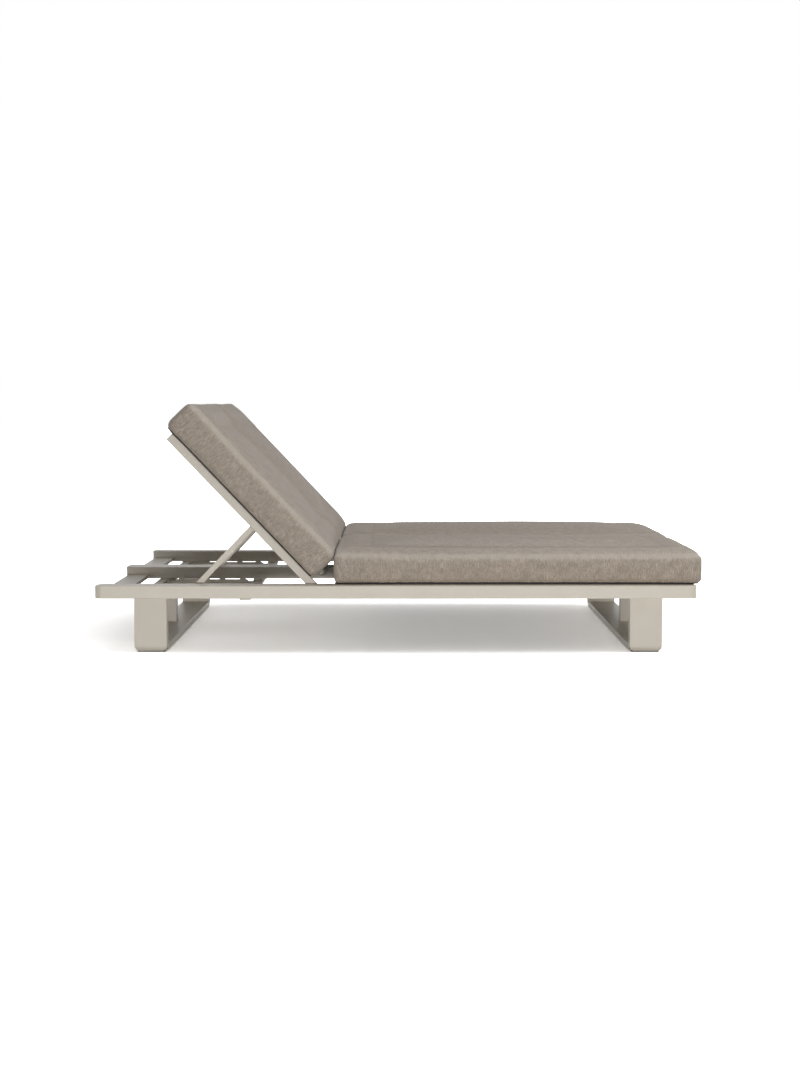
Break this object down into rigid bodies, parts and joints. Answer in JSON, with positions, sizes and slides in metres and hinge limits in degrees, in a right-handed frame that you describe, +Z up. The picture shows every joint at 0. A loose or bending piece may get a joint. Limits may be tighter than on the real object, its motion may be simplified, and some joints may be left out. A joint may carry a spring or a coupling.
{
  "type": "double chaise lounger",
  "caption": "Double outdoor chaise lounger: welded flat-bar frame on sled legs, reclining backs on ratchet props, thick loose box cushions",
  "frame": {"origin": "centre of the overall footprint, on the floor", "axes": "+X from the head end to the foot end, +Y from the bed nearer the viewer to the farther one, +Z up"},
  "size_m": [2.021, 1.51, 0.8373],
  "materials": {
    "powder_coat": "taupe powder coat, satin",
    "cushion_fabric": "heathered outdoor weave with slubs",
    "dark_plastic": "moulded, matt",
    "zinc_steel": "zinc plated"
  },
  "bodies": {
    "frame": {"side_rail_near": "powder_coat", "side_rail_far": "powder_coat", "middle_rail": "powder_coat", "side_rail_end_caps": "powder_coat", "middle_rail_end_caps": "powder_coat", "head_slat_near": "powder_coat", "seat_slats_near": "powder_coat", "tray_head_bar_near": "powder_coat", "tray_foot_bar_near": "powder_coat", "toothed_racks_near": "powder_coat", "rack_end_blocks_near": "powder_coat", "pivot_bolts_near": "zinc_steel", "pivot_nuts_near": "zinc_steel", "pivot_spacers_near": "zinc_steel", "head_slat_far": "powder_coat", "seat_slats_far": "powder_coat", "tray_head_bar_far": "powder_coat", "tray_foot_bar_far": "powder_coat", "toothed_racks_far": "powder_coat", "rack_end_blocks_far": "powder_coat", "pivot_bolts_far": "zinc_steel", "pivot_nuts_far": "zinc_steel", "pivot_spacers_far": "zinc_steel", "head_leg_upright_near": "powder_coat", "head_leg_upright_far": "powder_coat", "head_leg_floor_bar": "powder_coat", "head_leg_middle_post": "powder_coat", "foot_leg_upright_near": "powder_coat", "foot_leg_upright_far": "powder_coat", "foot_leg_floor_bar": "powder_coat", "foot_leg_middle_post": "powder_coat", "floor_glides": "dark_plastic", "seat_cushion_near": "cushion_fabric", "seat_cushion_far": "cushion_fabric"},
    "back_near": {"back_bar_outer_near": "powder_coat", "back_bar_inner_near": "powder_coat", "back_bar_plugs_near": "dark_plastic", "back_top_bar_near": "powder_coat", "back_slats_near": "powder_coat", "prop_rivets_near": "zinc_steel"},
    "prop_near": {"prop_arms_near": "powder_coat", "prop_foot_bar_near": "powder_coat"},
    "back_cushion_near": {"back_cushion_near": "cushion_fabric"},
    "back_far": {"back_bar_outer_far": "powder_coat", "back_bar_inner_far": "powder_coat", "back_bar_plugs_far": "dark_plastic", "back_top_bar_far": "powder_coat", "back_slats_far": "powder_coat", "prop_rivets_far": "zinc_steel"},
    "prop_far": {"prop_arms_far": "powder_coat", "prop_foot_bar_far": "powder_coat"},
    "back_cushion_far": {"back_cushion_far": "cushion_fabric"}
  },
  "joints": [
    {"name": "recline_near", "type": "hinge", "parent": "frame", "child": "back_near", "pos_m": [-0.2874, -0.362, 0.2135], "axis": [0, 1, 0], "range_deg": [-46.35, 16]},
    {"name": "prop_swing_near", "type": "hinge", "parent": "back_near", "child": "prop_near", "pos_m": [-0.48785, -0.362, 0.42362], "axis": [0, 1, 0], "range_deg": [-32.5, 93.2]},
    {"name": "cushion_creep_near", "type": "slide", "parent": "back_near", "child": "back_cushion_near", "axis": [-0.6903, 0, 0.7236], "range_m": [-0.1, 0.036]},
    {"name": "recline_far", "type": "hinge", "parent": "frame", "child": "back_far", "pos_m": [-0.2874, 0.362, 0.2135], "axis": [0, 1, 0], "range_deg": [-46.35, 16]},
    {"name": "prop_swing_far", "type": "hinge", "parent": "back_far", "child": "prop_far", "pos_m": [-0.48785, 0.362, 0.42362], "axis": [0, 1, 0], "range_deg": [-32.5, 93.2]},
    {"name": "cushion_creep_far", "type": "slide", "parent": "back_far", "child": "back_cushion_far", "axis": [-0.6903, 0, 0.7236], "range_m": [-0.1, 0.036]}
  ],
  "couplings": [
    {"joint": "prop_swing_near", "follows": "recline_near", "ratio": -2},
    {"joint": "cushion_creep_near", "follows": "recline_near", "m_per_rad": 0.121},
    {"joint": "prop_swing_far", "follows": "recline_far", "ratio": -2},
    {"joint": "cushion_creep_far", "follows": "recline_far", "m_per_rad": 0.121}
  ]
}
